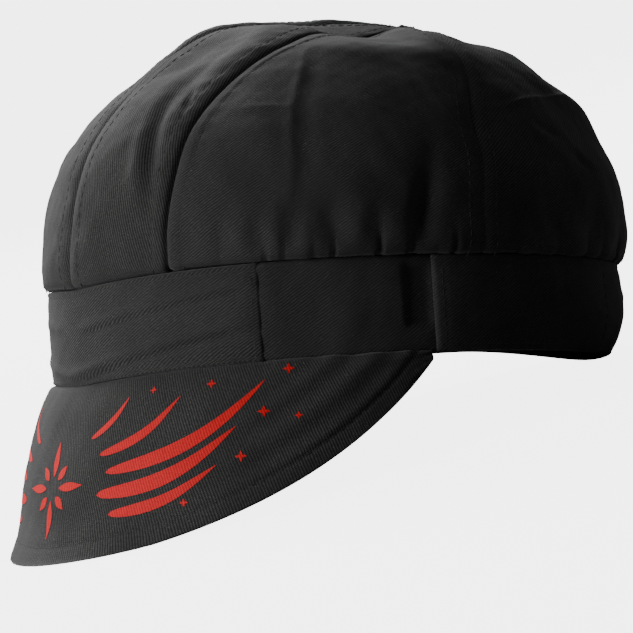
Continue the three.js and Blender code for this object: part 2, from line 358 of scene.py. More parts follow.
def band_sink(angle, height):
    """How far the ring's face is sunk, in its slots and waves, less its swell beside the front piece."""
    degrees = np.degrees(np.abs(np.arctan2(np.sin(angle), np.cos(angle))))
    beside = np.clip((SLOT_HALF + SLOT_EDGE - np.abs(degrees - SLOT_ANGLE)) / SLOT_EDGE, 0, 1)
    above = np.clip((height - SLOT_LOW) / SLOT_EDGE_SHARE, 0, 1)
    below = np.clip((SLOT_HIGH - height) / SLOT_EDGE_SHARE, 0, 1)
    swell = RING_SWELL * bell(degrees - RING_SWELL_ANGLE, RING_SWELL_REACH)
    return SLOT_SINK * beside * above * below - swell + cloth_waves(band_point(angle, height, 0), RING_WAVES)


band_angles = np.linspace(0, 2 * math.pi, BAND_COLUMNS + 1)
band_heights = spaced(BAND_HEIGHT, 1.4, BAND_ROLL)[:, None]
band_full = rolled(band_heights, BAND_HEIGHT, BAND_ROLL)
band_share = band_heights / BAND_HEIGHT
band_face = band_full * band_sink(band_angles, band_share)
band_outer = band_point(band_angles, band_share, -BAND_WALL / 2 * (1 - band_full) - band_face)
band_inner = band_point(band_angles, band_share, -BAND_WALL / 2 * (1 + band_full))
band_cut = np.stack(np.broadcast_arrays(lengths_along(band_outer, 1), band_heights), -1)
side_twill = twill_material("side_twill", 33)
band = cloth_piece("band_ring", band_outer, band_inner, band_cut, side_twill)
finish_cloth(band, "band")

# The front and rear band pieces: flat strips with turned-under edges, topstitched over the ring from
# temple to temple in front and from ear to ear behind. Their ends stand up as a stitched step.
BAND_PIECE_WALL = 1.4
GAP = 0.3
FRONT_PIECE_ANGLE = 47
REAR_PIECE_ANGLE = 80
PIECE_ROLL = 0.8
END_ROLL = 3.0
EDGE_STITCH = 2.2
END_STITCH = 2.6
EDGE_STITCH_SINK = 0.28
END_STITCH_SINK = 0.34
STITCH_DENT = 0.7
CREASE_END = 4
PIECE_WAVES = [(0.18, 21, 7), (0.08, 7, 8)]


def band_piece_relief(angle, height, ends, creases):
    """How far a band piece's face stands out, in millimetres: sewn down along its edges, and creased."""
    rise = cloth_waves(band_point(angle, height, 0), PIECE_WAVES)
    from_edge = np.minimum(height, 1 - height) * BAND_HEIGHT
    from_end = np.minimum(angle - ends[0], ends[1] - angle) * half_width
    rise = rise - EDGE_STITCH_SINK * bell(from_edge - EDGE_STITCH, STITCH_DENT)
    rise = rise - END_STITCH_SINK * bell(from_end - END_STITCH, STITCH_DENT)
    for start, end, wide, tall in creases:
        share = np.clip((np.degrees(angle) - start[0]) / (end[0] - start[0]), 0, 1)
        level = start[1] + (end[1] - start[1]) * share
        away = np.degrees(angle) - (start[0] + (end[0] - start[0]) * share)
        rise = rise + tall * bell(away, CREASE_END) * bell((height - level) * BAND_HEIGHT, wide)
    return rise


def band_piece(name, start, end, creases, material):
    """A strip sewn over the ring from one angle round to another, in degrees."""
    ends = (math.radians(start), math.radians(end))
    length = (ends[1] - ends[0]) * (half_length + half_width) / 2
    around = spaced(length, 1.2, END_ROLL)
    angles = ends[0] + (ends[1] - ends[0]) * around / length
    heights = spaced(BAND_HEIGHT, 1.1, PIECE_ROLL)[:, None]
    full = rolled(heights, BAND_HEIGHT, PIECE_ROLL) * rolled(around, length, END_ROLL)
    share = heights / BAND_HEIGHT
    relief = band_piece_relief(angles, share, ends, creases)
    outer = band_point(angles, share, 0.05 + full * (GAP + BAND_PIECE_WALL - 0.05 + relief))
    inner = band_point(angles, share, 0.05 * (1 + 0 * full))
    cut = np.stack(np.broadcast_arrays(lengths_along(outer, 1), heights), -1)
    finish_cloth(cloth_piece(f"{name}_cloth", outer, inner, cut, material), name)


# Creases of a band piece: where each starts and ends, as degrees round and share of the height, its
# width and its height in millimetres, which is negative where the crease is a valley
FRONT_CREASES = [
    ((-33, 0.30), (-4, 0.10), 1.6, 0.60),
    ((2, 0.14), (40, 0.38), 1.6, 0.70),
    ((4, 0.05), (40, 0.29), 0.8, -1.3),
    ((6, 0.60), (44, 0.80), 1.8, 0.55),
    ((8, 0.53), (40, 0.70), 0.8, -1.1),
    ((-40, 0.74), (-10, 0.60), 1.8, 0.45),
]
REAR_CREASES = [
    ((96, 0.30), (128, 0.42), 2.0, 0.35),
    ((150, 0.66), (200, 0.60), 2.0, 0.40),
    ((232, 0.42), (262, 0.30), 2.0, 0.35),
]
# The front band piece has greyer wale tops than the side twill: partly wear, partly painted light on the lit
# front of the cap.
front_twill = twill_material("front_band_twill", 30, wear_and_painted_light=0.62)
band_piece("front_band", -FRONT_PIECE_ANGLE, FRONT_PIECE_ANGLE, FRONT_CREASES, front_twill)
band_piece("rear_band", REAR_PIECE_ANGLE, 360 - REAR_PIECE_ANGLE, REAR_CREASES, side_twill)

# The crown: six gores of twill, three to a side, meeting at a point behind the top of the head. They
# are puffed out between their seams, gathered into the band, and crumpled from being folded flat.
CROWN_RISE = 87
CROWN_FALL = 6.5
CROWN_WALL = 1.4
GORE_PUFF = 3
FOLD_DEPTH = 2.3
PUFF_LOWNESS = 0.75
PUFF_FULLNESS = 0.7
SEAM_TUCK = 6
CROWN_FACING_TOP = 0.985
SMALL_STEP = 1e-3
FOLD_FOOT = 0.03
FOOT_FILL = 2.3
FOOT_FILL_TOP = 0.075
FOOT_CREASE = 0.014
FOLD_SEAM = 0.25

# Sections along the seams, from the band up: rise as a share of the crown's rise, then front, rear and
# side as shares of half the band's length and width
CROWN_SECTIONS = np.array([
    (0.00, 0.985, 0.985, 0.985),
    (0.03, 0.998, 1.005, 1.015),
    (0.16, 1.000, 1.050, 1.000),
    (0.34, 0.964, 1.014, 1.010),
    (0.52, 0.884, 0.957, 0.921),
    (0.71, 0.722, 0.895, 0.775),
    (0.855, 0.560, 0.705, 0.635),
    (0.945, 0.410, 0.520, 0.420),
    (0.975, 0.150, 0.420, 0.200),
    (1.01, -0.33, 0.330, 0.000),
])
RISE, FRONT, REAR, SIDE = range(4)

# Where each seam of the left half leaves the band, how far it swings back on its way up, in degrees,
# and how late it does so. Then how deep its groove is, how far the cloth beside it fills out, and how
# clearly its padded allowance shows.
SEAMS = {
    "front": (0, 0, 1, 0.16, 2.3, 0.5),
    "front_side": (28, 110, 3.4, 0.85, 0.2, 1.1),
    "side": (90, 60, 3.5, 0.14, 1.8, 0.3),
    "rear": (180, 0, 1, 0.40, 0.8, 0.8),
}
GORES = {
    "crown_front": ("front", "front_side", 2),
    "crown_side": ("front_side", "side", 3),
    "crown_rear": ("side", "rear", 3),
}

# The folds and dents of the left half: degrees round from the front, share of the way up, width in
# degrees, height as a share, how many degrees it leans back on its way up, and share of FOLD_DEPTH
FOLDS = [
    (40, 0.05, 2.2, 0.05, 10, 0.35),
    (47, 0.05, 2.4, 0.05, 0, 0.60),
    (53, 0.05, 2.2, 0.06, 5, 0.65),
    (61, 0.06, 2.6, 0.07, -5, 0.55),
    (69, 0.05, 2.4, 0.06, 5, 0.55),
    (78, 0.10, 2.2, 0.09, 12, 1.40),
    (97, 0.05, 3.0, 0.07, 8, 0.45),
    (108, 0.05, 3.4, 0.08, -8, 0.50),
    (121, 0.05, 3.6, 0.09, 10, 0.50),
    (136, 0.05, 4.0, 0.08, -6, 0.50),
    (153, 0.05, 4.0, 0.09, 6, 0.45),
    (169, 0.05, 4.0, 0.07, 0, 0.40),
    (16, 0.56, 13, 0.14, 40, 1.50),
    (21, 0.40, 4.0, 0.16, 25, 0.55),
    (130, 0.70, 12, 0.06, 40, 0.80),
    (136, 0.59, 13, 0.05, 40, -0.35),
    (118, 0.40, 12, 0.14, 0, 0.40),
]

inward = (CROWN_SECTIONS[:-1, FRONT] + CROWN_SECTIONS[:-1, REAR]
          - CROWN_SECTIONS[1:, FRONT] - CROWN_SECTIONS[1:, REAR]) / 2 * half_length
upward = np.diff(CROWN_SECTIONS[:, RISE]) * CROWN_RISE
section_places = np.concatenate([[0], np.cumsum(np.hypot(inward, upward))])
CROWN_LENGTH = section_places[-1]
section_places = section_places / CROWN_LENGTH
before = np.maximum(np.arange(len(section_places)) - 1, 0)
after = np.minimum(np.arange(len(section_places)) + 1, len(section_places) - 1)
section_slopes = ((CROWN_SECTIONS[after] - CROWN_SECTIONS[before])
                  / (section_places[after] - section_places[before])[:, None])


def section_value(column, up):
    """One column of the section table, read smoothly between its rows."""
    low = np.clip(np.searchsorted(section_places, up, side="right") - 1, 0, len(section_places) - 2)
    span = section_places[low + 1] - section_places[low]
    u = (up - section_places[low]) / span
    value, slope = CROWN_SECTIONS[:, column], section_slopes[:, column]
    return ((2 * u ** 3 - 3 * u ** 2 + 1) * value[low] + (u ** 3 - 2 * u ** 2 + u) * span * slope[low]
            + (3 * u ** 2 - 2 * u ** 3) * value[low + 1] + (u ** 3 - u ** 2) * span * slope[low + 1])


def seam_surface(angle, up):
    """The smooth form that all the seams lie in."""
    front, rear, rise = (section_value(column, up) for column in (FRONT, REAR, RISE))
    y = half_length * ((rear - front) / 2 - (rear + front) / 2 * np.cos(angle))
    x = half_width * section_value(SIDE, up) * np.sin(angle)
    fall = CROWN_FALL * np.clip(rise, 0, 1) * y / half_length
    z = BAND_HEIGHT + 2 * GAP + band_arch(angle) * (1 - rise) + CROWN_RISE * rise - fall
    return np.stack(np.broadcast_arrays(x, y, z), -1)


def seam_surface_facing(angle, up):
    low = np.clip(up, 0, CROWN_FACING_TOP)
    across = seam_surface(angle + SMALL_STEP, low) - seam_surface(angle - SMALL_STEP, low)
    along = seam_surface(angle, low + SMALL_STEP) - seam_surface(angle, low)
    facing = np.cross(across, along)
    return facing / np.linalg.norm(facing, axis=-1, keepdims=True)


def seam_angle(seam, up):
    foot, swing, lateness = SEAMS[seam][:3]
    return np.radians(foot + swing * np.clip(up, 0, 1) ** lateness)


def seam_distance(seam, angle, up):
    """Millimetres from a seam, square to it over the crown."""
    low = np.clip(up, SMALL_STEP, CROWN_FACING_TOP)
    across = seam_surface(angle + SMALL_STEP, low) - seam_surface(angle, low)
    radius = np.linalg.norm(across, axis=-1) / SMALL_STEP
    swing = (seam_angle(seam, low + SMALL_STEP) - seam_angle(seam, low)) / SMALL_STEP / CROWN_LENGTH
    return (np.abs(angle) - seam_angle(seam, up)) * radius / np.sqrt(1 + (radius * swing) ** 2)


# Sewn seams: a groove, the seam allowance that pads both its sides, and a sunk row of topstitching
GROOVE_WIDTH = 0.62
ALLOWANCE_RISE = 0.38
ALLOWANCE_START = 0.3
ALLOWANCE_FULL = 1.7
ALLOWANCE_END = 7.0
SEAM_FILL_REACH = 13
SEAM_STITCH = 5.4
STITCH_SINK = 0.40
STITCH_WIDTH = 0.6
PUCKER = 0.13
PUCKER_WIDTH = 2.6
PUCKER_LENGTH = 7.5


def seam_relief(seam, angle, up):
    groove, fill, clear = SEAMS[seam][3:]
    beside = np.abs(seam_distance(seam, angle, up))
    filled = fill * bell(beside, SEAM_FILL_REACH) * np.sin(math.pi * np.clip(up, 0, 1)) ** 0.5
    padded = smooth_step(ALLOWANCE_START, ALLOWANCE_FULL, beside)
    padded = padded * (1 - smooth_step(SEAM_STITCH, ALLOWANCE_END, beside))
    pucker = PUCKER * np.sin(2 * math.pi * up * CROWN_LENGTH / PUCKER_LENGTH + 2.2 * np.sin(up * 19))
    return (filled - groove * bell(beside, GROOVE_WIDTH)
            + clear * (ALLOWANCE_RISE * padded + pucker * bell(beside - SEAM_STITCH, PUCKER_WIDTH)
                       - STITCH_SINK * bell(beside - SEAM_STITCH, STITCH_WIDTH)))


# The worn shape that the two halves don't share, as soft swells and dents: degrees round from the front,
# with the left positive, share of the way up, how far they reach and how far they stand out in millimetres
SWELLS = [
    (70, 0.78, 23, -4.4),
    (104, 0.66, 17, 1.6),
    (-42, 0.79, 34, 3.4),
    (-44, 0.90, 26, 3.0),
    (-120, 0.80, 30, 2.2),
    (-22, 0.54, 34, 0.8),
    (-32, 0.20, 26, 0.7),
    (137, 0.39, 11, 1.2),
    (138, 0.47, 9, -1.6),
    (110, 0.56, 16, -0.8),
    (-150, 0.40, 17, -1.5),
    (-66, 0.32, 18, -1.2),
]

# Finer creases, each along a line: start and end as degrees round and share up, its width in
# millimetres and its height, which is negative where the crease is a valley
CREASES = [
    ((20, 0.38), (24, 0.13), 2.4, -1.7),
    ((16.5, 0.36), (20, 0.15), 2.4, 0.7),
    ((25, 0.40), (27, 0.33), 1.0, -0.9),
    ((53, 0.08), (51.5, 0.52), 1.6, 0.42),
    ((56, 0.08), (54.5, 0.52), 3.0, -0.42),
    ((40, 0.335), (53, 0.325), 1.2, 0.50),
    ((40, 0.315), (52, 0.305), 2.0, -0.40),
    ((102, 0.355), (117, 0.397), 1.2, 0.80),
    ((116, 0.395), (135, 0.425), 1.1, 0.80),
    ((104, 0.335), (133, 0.395), 2.4, -0.25),
    ((108, 0.310), (116, 0.275), 2.0, -0.70),
    ((117, 0.240), (123, 0.195), 2.2, -0.80),
    ((66, 0.34), (84, 0.24), 3.0, 0.35),
    ((-52, 0.12), (-50, 0.46), 1.3, 0.50),
    ((-55, 0.12), (-53, 0.46), 2.2, -0.60),
    ((-36, 0.30), (-50, 0.34), 1.4, 0.45),
    ((-105, 0.33), (-132, 0.42), 1.6, 0.70),
    ((-18, 0.34), (-22, 0.14), 2.6, -1.0),
]
GATHER_DEPTH = 2.0
GATHER_WIDTH = 0.22
GATHER_SPACING = 5.7
GATHER_FALL = 0.034
GATHER_START = 37
PRESSED_UP = (0.50, 0.68)
PRESSED_ROUND = (80, 108)
PRESSED_SEAMS = 0.6
CALM_SEAM = 0.4
CALM_FOOT = 0.06
CROWN_WAVES = [(0.55, 34, 11), (0.22, 13, 12), (0.09, 5.5, 13)]


def swell_relief(place):
    total = 0
    for around, level, reach, out in SWELLS:
        middle = seam_surface(np.radians(float(around)), level)
        total = total + out * bell(np.linalg.norm(place - middle, axis=-1), reach)
    return total


def crease_relief(degrees, up, creases):
    total = 0
    for start, end, wide, tall in creases:
        span_round = (end[0] - start[0]) * math.radians(1) * half_width
        span_up = (end[1] - start[1]) * CROWN_LENGTH
        there_round = (degrees - start[0]) * math.radians(1) * half_width
        there_up = (up - start[1]) * CROWN_LENGTH
        length = math.hypot(span_round, span_up)
        along = (there_round * span_round + there_up * span_up) / length
        beside = (there_up * span_round - there_round * span_up) / length
        past = np.maximum(np.maximum(-along, along - length), 0)
        fade = np.sin(math.pi * np.clip(along / length, 0.04, 0.96)) ** 0.6
        total = total + tall * fade * bell(past, 2) * bell(beside, wide)
    return total


def gather_relief(angle, up):
    """The small sharp tucks that the band's seam draws the crown into, dying out upwards."""
    degrees = np.degrees(angle)
    warp = degrees + 1.5 * np.sin(degrees * 0.23) + 0.9 * np.sin(degrees * 0.61 + 1)
    tuck = np.exp(-(np.sin(math.pi * warp / GATHER_SPACING) / GATHER_WIDTH) ** 2)
    uneven = 0.62 + 0.38 * np.sin(degrees * 0.83 + 0.6)
    reach = GATHER_FALL * (1 + 0.45 * np.sin(degrees * 0.37))
    started = smooth_step(GATHER_START, GATHER_START + 8, np.abs(degrees)) * smooth_step(0, 0.014, up)
    return GATHER_DEPTH * uneven * (0.35 - tuck) * started * np.exp(-(up / reach) ** 1.5)


def crown_relief(angle, up):
    """How far the crown's cloth stands out from the seam surface. High on the left it is pressed flat."""
    degrees = np.degrees(np.abs(angle))
    swell = np.sin(math.pi * np.clip(up, 0, 1) ** PUFF_LOWNESS) ** PUFF_FULLNESS
    pressed = (angle > 0) * smooth_step(*PRESSED_UP, up) * (1 - smooth_step(*PRESSED_ROUND, degrees))
    bulge = 0
    for first, last, flatness in GORES.values():
        start, end = seam_angle(first, up), seam_angle(last, up)
        across = (np.abs(angle) - start) / (end - start)
        inside = (across >= -1e-9) & (across <= 1 + 1e-9)
        round_form = 1 - np.abs(2 * np.clip(across, 0, 1) - 1) ** flatness
        if first == "front_side":
            round_form = round_form * (1 - pressed)
        bulge = np.where(inside, round_form, bulge)
    depth = 0
    for around, level, wide, tall, lean, deep in FOLDS:
        beside = (degrees - around - lean * (up - level)) / wide
        depth = depth + deep * np.exp(-beside ** 2 - ((up - level) / tall) ** 2)
    fade = np.minimum(1, bulge / FOLD_SEAM) * np.minimum(1, up / FOLD_FOOT)
    out = GORE_PUFF * bulge * swell - FOLD_DEPTH * fade * depth
    for seam in SEAMS:
        out = out + seam_relief(seam, angle, up) * (1 - PRESSED_SEAMS * pressed)
    place = seam_surface(angle, up)
    out = out + swell_relief(place) + FOOT_FILL * bell(up, FOOT_FILL_TOP) * smooth_step(0, FOOT_CREASE, up)
    off_seams = np.minimum(1, np.clip(bulge, 0, 1) / CALM_SEAM)
    out = out + off_seams * cloth_waves(place, CROWN_WAVES) * smooth_step(0, CALM_FOOT, up)
    return out + off_seams * (gather_relief(angle, up) + crease_relief(np.degrees(angle), up, CREASES))


def crown_point(angle, up, sunk=0):
    out = crown_relief(angle, up)
    return seam_surface(angle, up) + seam_surface_facing(angle, up) * (out - sunk)[..., None]


CROWN_STEP = 1.05
CROWN_ROLL = 1.6
TUCK_ROWS = [1 - SEAM_TUCK / BAND_HEIGHT, 1 - SEAM_TUCK / BAND_HEIGHT / 2, 1 + GAP / BAND_HEIGHT]


def gore_piece(name, first, last, side, widest, material):
    """One gore of the crown, with its seam allowance tucked down inside the band."""
    share = spaced(widest, CROWN_STEP, CROWN_ROLL) / widest
    ups = spaced(CROWN_LENGTH, CROWN_STEP, CROWN_ROLL)[:, None] / CROWN_LENGTH
    ups[-1] = 1 - 1e-6

    def angles_at(up):
        start, end = seam_angle(first, up), seam_angle(last, up)
        across = share if side > 0 else 1 - share
        return side * (start + (end - start) * across)

    angle = angles_at(ups)
    width = np.abs(angle[:, -1:] - angle[:, :1]) * half_width * section_value(SIDE, ups)
    sunk = CROWN_WALL * rolled(share * width, width, 1.0) + 0 * ups
    up = ups + 0 * angle
    outer, inner = crown_point(angle, up), crown_point(angle, up, sunk)
    foot = angles_at(np.zeros((1, 1)))
    low = np.array(TUCK_ROWS)[:, None]
    tucked = np.where(low == low[0], 0, CROWN_WALL * rolled(share * widest, widest, 1.0))
    outer = np.concatenate([band_point(foot, low, -BAND_WALL - GAP), outer])
    inner = np.concatenate([band_point(foot, low, -BAND_WALL - GAP - tucked), inner])
    across_cut = lengths_along(outer, 1)
    middle = len(share) // 2
    across_cut = across_cut - across_cut[:, middle:middle + 1]
    up_cut = lengths_along(outer[:, middle:middle + 1], 0)
    cut = np.stack(np.broadcast_arrays(across_cut, up_cut), -1)
    finish_cloth(cloth_piece(f"{name}_cloth", outer, inner, cut, material), name)


# The front gores have greyer wale tops too: partly wear, partly painted light on the lit front of the cap.
crown_front_twill = twill_material("crown_front_twill", 107, wear_and_painted_light=0.60)
GORE_WIDTHS = {"crown_front": 58, "crown_side": 112, "crown_rear": 138}
for gore, (first, last, _) in GORES.items():
    twill = crown_front_twill if gore == "crown_front" else side_twill
    for hand, side in [("left", 1), ("right", -1)]:
        gore_piece(f"{gore}_{hand}", first, last, side, GORE_WIDTHS[gore], twill)

# The visor: two layers of twill over a soft interlining, sewn under the band's front. It drops
# steeply over the brow, flares at its front corner, and is topstitched in a row inside its edge.
VISOR_LENGTH = 59
VISOR_WALL = 2.6
VISOR_ANGLE = 80
VISOR_SQUARENESS = 2.65
VISOR_ROOT_SLOPE = 62
VISOR_EDGE_SLOPE = 88
VISOR_END_SHARE = 0.985
VISOR_STITCH = 5.2
VISOR_ROLL = 0.6
ROOT_ROLL = 0.4
ROOT_TUCK = 0.7
ROOT_SET_BACK = 2.8
ROOT_SEAM_REACH = 0.018
ROOT_FILL = 0.4
ROOT_FILL_PLACE = 0.17
ROOT_FILL_REACH = 0.10
EDGE_FLARE = 6.5
FLARE_START = 0.74
FLARE_CURVE = 2.5
FLARE_DROP = 0.48
FLARE_ANGLE = 28
VISOR_STITCH_SINK = 0.34
VISOR_STITCH_WIDTH = 0.65
RIDGE_HEIGHT = 0.34
RIDGE_SPACING = 9.5
RIDGE_ANGLES = (24, 52)
RIDGE_START = (5, 8)
RIDGE_END = (24, 34)
VISOR_WAVES = [(-0.30, 26, 21), (-0.09, 8, 22)]

visor_end = math.radians(VISOR_ANGLE) * VISOR_END_SHARE


def visor_reach(angle):
    return VISOR_LENGTH * (1 - np.abs(angle / math.radians(VISOR_ANGLE)) ** VISOR_SQUARENESS)


def visor_edge_distance(angle, down):
    """Millimetres from the visor's free edge, square to it."""
    reach = visor_reach(angle)
    change = (visor_reach(angle + SMALL_STEP) - reach) / SMALL_STEP / (half_length + half_width) * 2
    return reach * (1 - down) / np.sqrt(1 + change ** 2)


def visor_sink(angle, down):
    """How far the visor's face is sunk: along its topstitching and in soft ridges beside its ends."""
    from_edge = visor_edge_distance(angle, down)
    ridged = smooth_step(*RIDGE_ANGLES, np.degrees(np.abs(angle)))
    ridged = ridged * smooth_step(*RIDGE_START, from_edge) * (1 - smooth_step(*RIDGE_END, from_edge))
    ridges = RIDGE_HEIGHT * ridged * np.sin(from_edge * 2 * math.pi / RIDGE_SPACING + 0.8)
    return (VISOR_STITCH_SINK * bell(from_edge - VISOR_STITCH, VISOR_STITCH_WIDTH) + ridges
            + cloth_waves(band_point(angle, -down, 0), VISOR_WAVES))


def visor_point(angle, down, sunk):
    """The visor leaves the band at one slope, curves over to a steeper one and flares out at its edge."""
    slope = np.radians(VISOR_ROOT_SLOPE + (VISOR_EDGE_SLOPE - VISOR_ROOT_SLOPE) * down / 2)
    facing = np.radians(VISOR_ROOT_SLOPE + (VISOR_EDGE_SLOPE - VISOR_ROOT_SLOPE) * down)
    reach = visor_reach(angle)
    edge = np.clip((down - FLARE_START) / (1 - FLARE_START), 0, 1) ** FLARE_CURVE
    flare = EDGE_FLARE * bell(np.degrees(angle), FLARE_ANGLE) * edge
    filled = ROOT_FILL * bell(down - ROOT_FILL_PLACE, ROOT_FILL_REACH)
    filled = filled - ROOT_SET_BACK * bell(down, ROOT_SEAM_REACH)
    out = reach * down * np.cos(slope) - sunk * np.sin(facing) + flare + filled
    drop = reach * down * np.sin(slope) + sunk * np.cos(facing) + FLARE_DROP * flare - ROOT_TUCK * (1 - down)
    points = band_point(angle, 0 * down, GAP + BAND_PIECE_WALL + out)
    points[..., 2] = band_arch(angle) - drop
    return points


visor_round = visor_end * (half_length + half_width)
visor_around = spaced(visor_round, 1.1, VISOR_ROLL)
visor_angles = visor_end * (2 * visor_around / visor_round - 1)
visor_rows = spaced(VISOR_LENGTH, 0.95, VISOR_ROLL)[:, None]
visor_down = 1 - visor_rows / VISOR_LENGTH
visor_full = (rolled(visor_rows, 2 * VISOR_LENGTH, VISOR_ROLL)
              * rolled(VISOR_LENGTH - visor_rows, 2 * VISOR_LENGTH, ROOT_ROLL)
              * rolled(visor_around, visor_round, VISOR_ROLL))
visor_faces = [visor_point(visor_angles, visor_down, VISOR_WALL / 2 * (1 - facing * visor_full) + sink)
               for facing, sink in [(1, visor_full * visor_sink(visor_angles, visor_down)), (-1, 0)]]
visor_cut = np.stack(np.broadcast_arrays(visor_around, -visor_reach(visor_angles) * visor_down), -1)
# The visor has greyer wale tops too: partly wear, partly painted light on the lit front of the cap.
visor_twill = twill_material("visor_twill", 108, wear_and_painted_light=0.58)
visor = cloth_piece("visor_pad", *visor_faces, visor_cut, visor_twill)
finish_cloth(visor, "visor")

# The topstitching: black thread, sewn by machine in rows along the seams, the band's edges and inside
# the visor's edge. Each stitch is a short bar of thread that dives into the cloth at both ends.
THREAD = 0.00032
THREAD_RISE = THREAD * 150
STITCH = 0.0026
STITCH_GAP = 0.0008
STITCH_SEED = 5

thread, thread_nodes, thread_links, thread_finish = dull_material("stitching", 0.8, 0.1)
thread_place = thread_nodes.new("ShaderNodeTexCoord")
thread_noise = thread_nodes.new("ShaderNodeTexNoise")
fill_in(thread_noise, {"Scale": 900})
thread_ramp = thread_nodes.new("ShaderNodeValToRGB")
thread_ramp.color_ramp.elements[0].color = (0.004, 0.004, 0.004, 1)
thread_ramp.color_ramp.elements[1].color = (0.030, 0.030, 0.030, 1)
thread_links.new(thread_place.outputs["Object"], thread_noise.inputs["Vector"])
thread_links.new(thread_noise.outputs[0], thread_ramp.inputs[0])
thread_links.new(thread_ramp.outputs[0], thread_finish.inputs["Base Color"])


def stitch_tree():
    """Stitches laid end to end along the edges of a mesh."""
    tree = bpy.data.node_groups.new("stitch_rows", "GeometryNodeTree")
    sockets = [("Rows", "NodeSocketGeometry"), ("Stitch", "NodeSocketFloat"), ("Gap", "NodeSocketFloat"),
               ("Thread", "NodeSocketFloat"), ("Seed", "NodeSocketInt"), ("Material", "NodeSocketMaterial")]
    for name, kind in sockets:
        tree.interface.new_socket(name, in_out="INPUT", socket_type=kind)
    tree.interface.new_socket("Stitches", in_out="OUTPUT", socket_type="NodeSocketGeometry")
    nodes, links = tree.nodes, tree.links
    given, result = nodes.new("NodeGroupInput"), nodes.new("NodeGroupOutput")
    curve = nodes.new("GeometryNodeMeshToCurve")
    places = nodes.new("GeometryNodeResampleCurve")
    places.mode = "LENGTH"
    pitch = nodes.new("ShaderNodeMath")
    pitch.operation = "ADD"
    tangent = nodes.new("GeometryNodeInputTangent")
    along = nodes.new("FunctionNodeAlignRotationToVector")
    along.axis = "Z"
    bar = nodes.new("GeometryNodeMeshUVSphere")
    fill_in(bar, {"Segments": 6, "Rings": 5, "Radius": 0.5})
    uneven = nodes.new("FunctionNodeRandomValue")
    uneven.data_type = "FLOAT"
    low, high = [s for s in uneven.inputs if s.type == "VALUE"][:2]
    low.default_value, high.default_value = 0.86, 1.10
    length = nodes.new("ShaderNodeMath")
    length.operation = "MULTIPLY"
    size = nodes.new("ShaderNodeCombineXYZ")
    placed = nodes.new("GeometryNodeInstanceOnPoints")
    real = nodes.new("GeometryNodeRealizeInstances")
    finish = nodes.new("GeometryNodeSetMaterial")
    for source, target in [
        (given.outputs["Rows"], curve.inputs["Mesh"]),
        (curve.outputs["Curve"], places.inputs["Curve"]),
        (given.outputs["Stitch"], pitch.inputs[0]),
        (given.outputs["Gap"], pitch.inputs[1]),
        (pitch.outputs[0], places.inputs["Length"]),
        (places.outputs["Curve"], placed.inputs["Points"]),
        (bar.outputs["Mesh"], placed.inputs["Instance"]),
        (tangent.outputs[0], along.inputs["Vector"]),
        (along.outputs[0], placed.inputs["Rotation"]),
        (given.outputs["Seed"], uneven.inputs["Seed"]),
        (next(s for s in uneven.outputs if s.type == "VALUE"), length.inputs[0]),
        (given.outputs["Stitch"], length.inputs[1]),
        (given.outputs["Thread"], size.inputs["X"]),
        (given.outputs["Thread"], size.inputs["Y"]),
        (length.outputs[0], size.inputs["Z"]),
        (size.outputs[0], placed.inputs["Scale"]),
        (placed.outputs["Instances"], real.inputs["Geometry"]),
        (real.outputs[0], finish.inputs["Geometry"]),
        (given.outputs["Material"], finish.inputs["Material"]),
        (finish.outputs[0], result.inputs["Stitches"]),
    ]:
        links.new(source, target)
    return tree


stitch_rows = stitch_tree()


def sew(name, rows):
    """One piece of stitching from rows of points in worn millimetres, each along the cloth's face."""
    points, edges = [], []
    for row in rows:
        start = len(points)
        points += lay_down(row).tolist()
        edges += [(start + k, start + k + 1) for k in range(len(row) - 1)]
    path = bpy.data.meshes.new(f"{name}_rows")
    path.from_pydata(points, edges, [])
    piece = laid_out(name, path)
    sewing = piece.modifiers.new("sewing", "NODES")
    sewing.node_group = stitch_rows
    values = {"Stitch": STITCH, "Gap": STITCH_GAP, "Thread": THREAD, "Seed": STITCH_SEED, "Material": thread}
    for socket in stitch_rows.interface.items_tree:
        if socket.name in values:
            sewing[socket.identifier] = values[socket.name]
    seen = piece.evaluated_get(bpy.context.evaluated_depsgraph_get())
    mesh = bpy.data.meshes.new_from_object(seen)
    piece.modifiers.clear()
    piece.data = mesh
    mesh.shade_smooth()
    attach(piece, "root")


# How far up the crown the rows of each seam go, and on which sides of it they lie: 1 is its rear side
SEAM_ROW_FOOT = 0.012
SEAM_ROWS = {"front": (0.985, [1]), "front_side": (0.955, [1, -1]),
             "side": (0.955, [1, -1]), "rear": (0.985, [-1])}


def seam_row(seam, side, beside, top):
    up = np.linspace(SEAM_ROW_FOOT, top, 260)
    angle = seam_angle(seam, up)
    reach = seam_distance(seam, angle + SMALL_STEP, up) / SMALL_STEP
    return crown_point(side * (angle + beside * SEAM_STITCH / reach), up, -THREAD_RISE)


sew("crown_stitching", [seam_row(seam, side, beside, top) for seam, (top, besides) in SEAM_ROWS.items()
                        for side in (1, -1) for beside in besides])


def band_row(degrees, heights, ends, creases):
    """A row over a band piece, through these degrees round and shares of its height."""
    angle, height = np.broadcast_arrays(np.radians(degrees), heights)
    relief = band_piece_relief(angle, height, ends, creases)
    return band_point(angle, height, GAP + BAND_PIECE_WALL + relief + THREAD_RISE)


band_rows = []
edge_share = EDGE_STITCH / BAND_HEIGHT
inset = math.degrees(END_STITCH / half_width)
for start, end, creases, marks in [
    (-FRONT_PIECE_ANGLE, FRONT_PIECE_ANGLE, FRONT_CREASES, []),
    (REAR_PIECE_ANGLE, 360 - REAR_PIECE_ANGLE, REAR_CREASES, [128, 232]),
]:
    ends = (math.radians(start), math.radians(end))
    start, end = start + inset, end - inset
    around = np.linspace(start, end, round((end - start) * 3) + 2)
    for height in (edge_share, 1 - edge_share):
        band_rows.append(band_row(around, height, ends, creases))
    for degrees in [start, end, *marks]:
        band_rows.append(band_row(degrees, np.linspace(edge_share, 1 - edge_share, 40), ends, creases))
sew("band_stitching", band_rows)

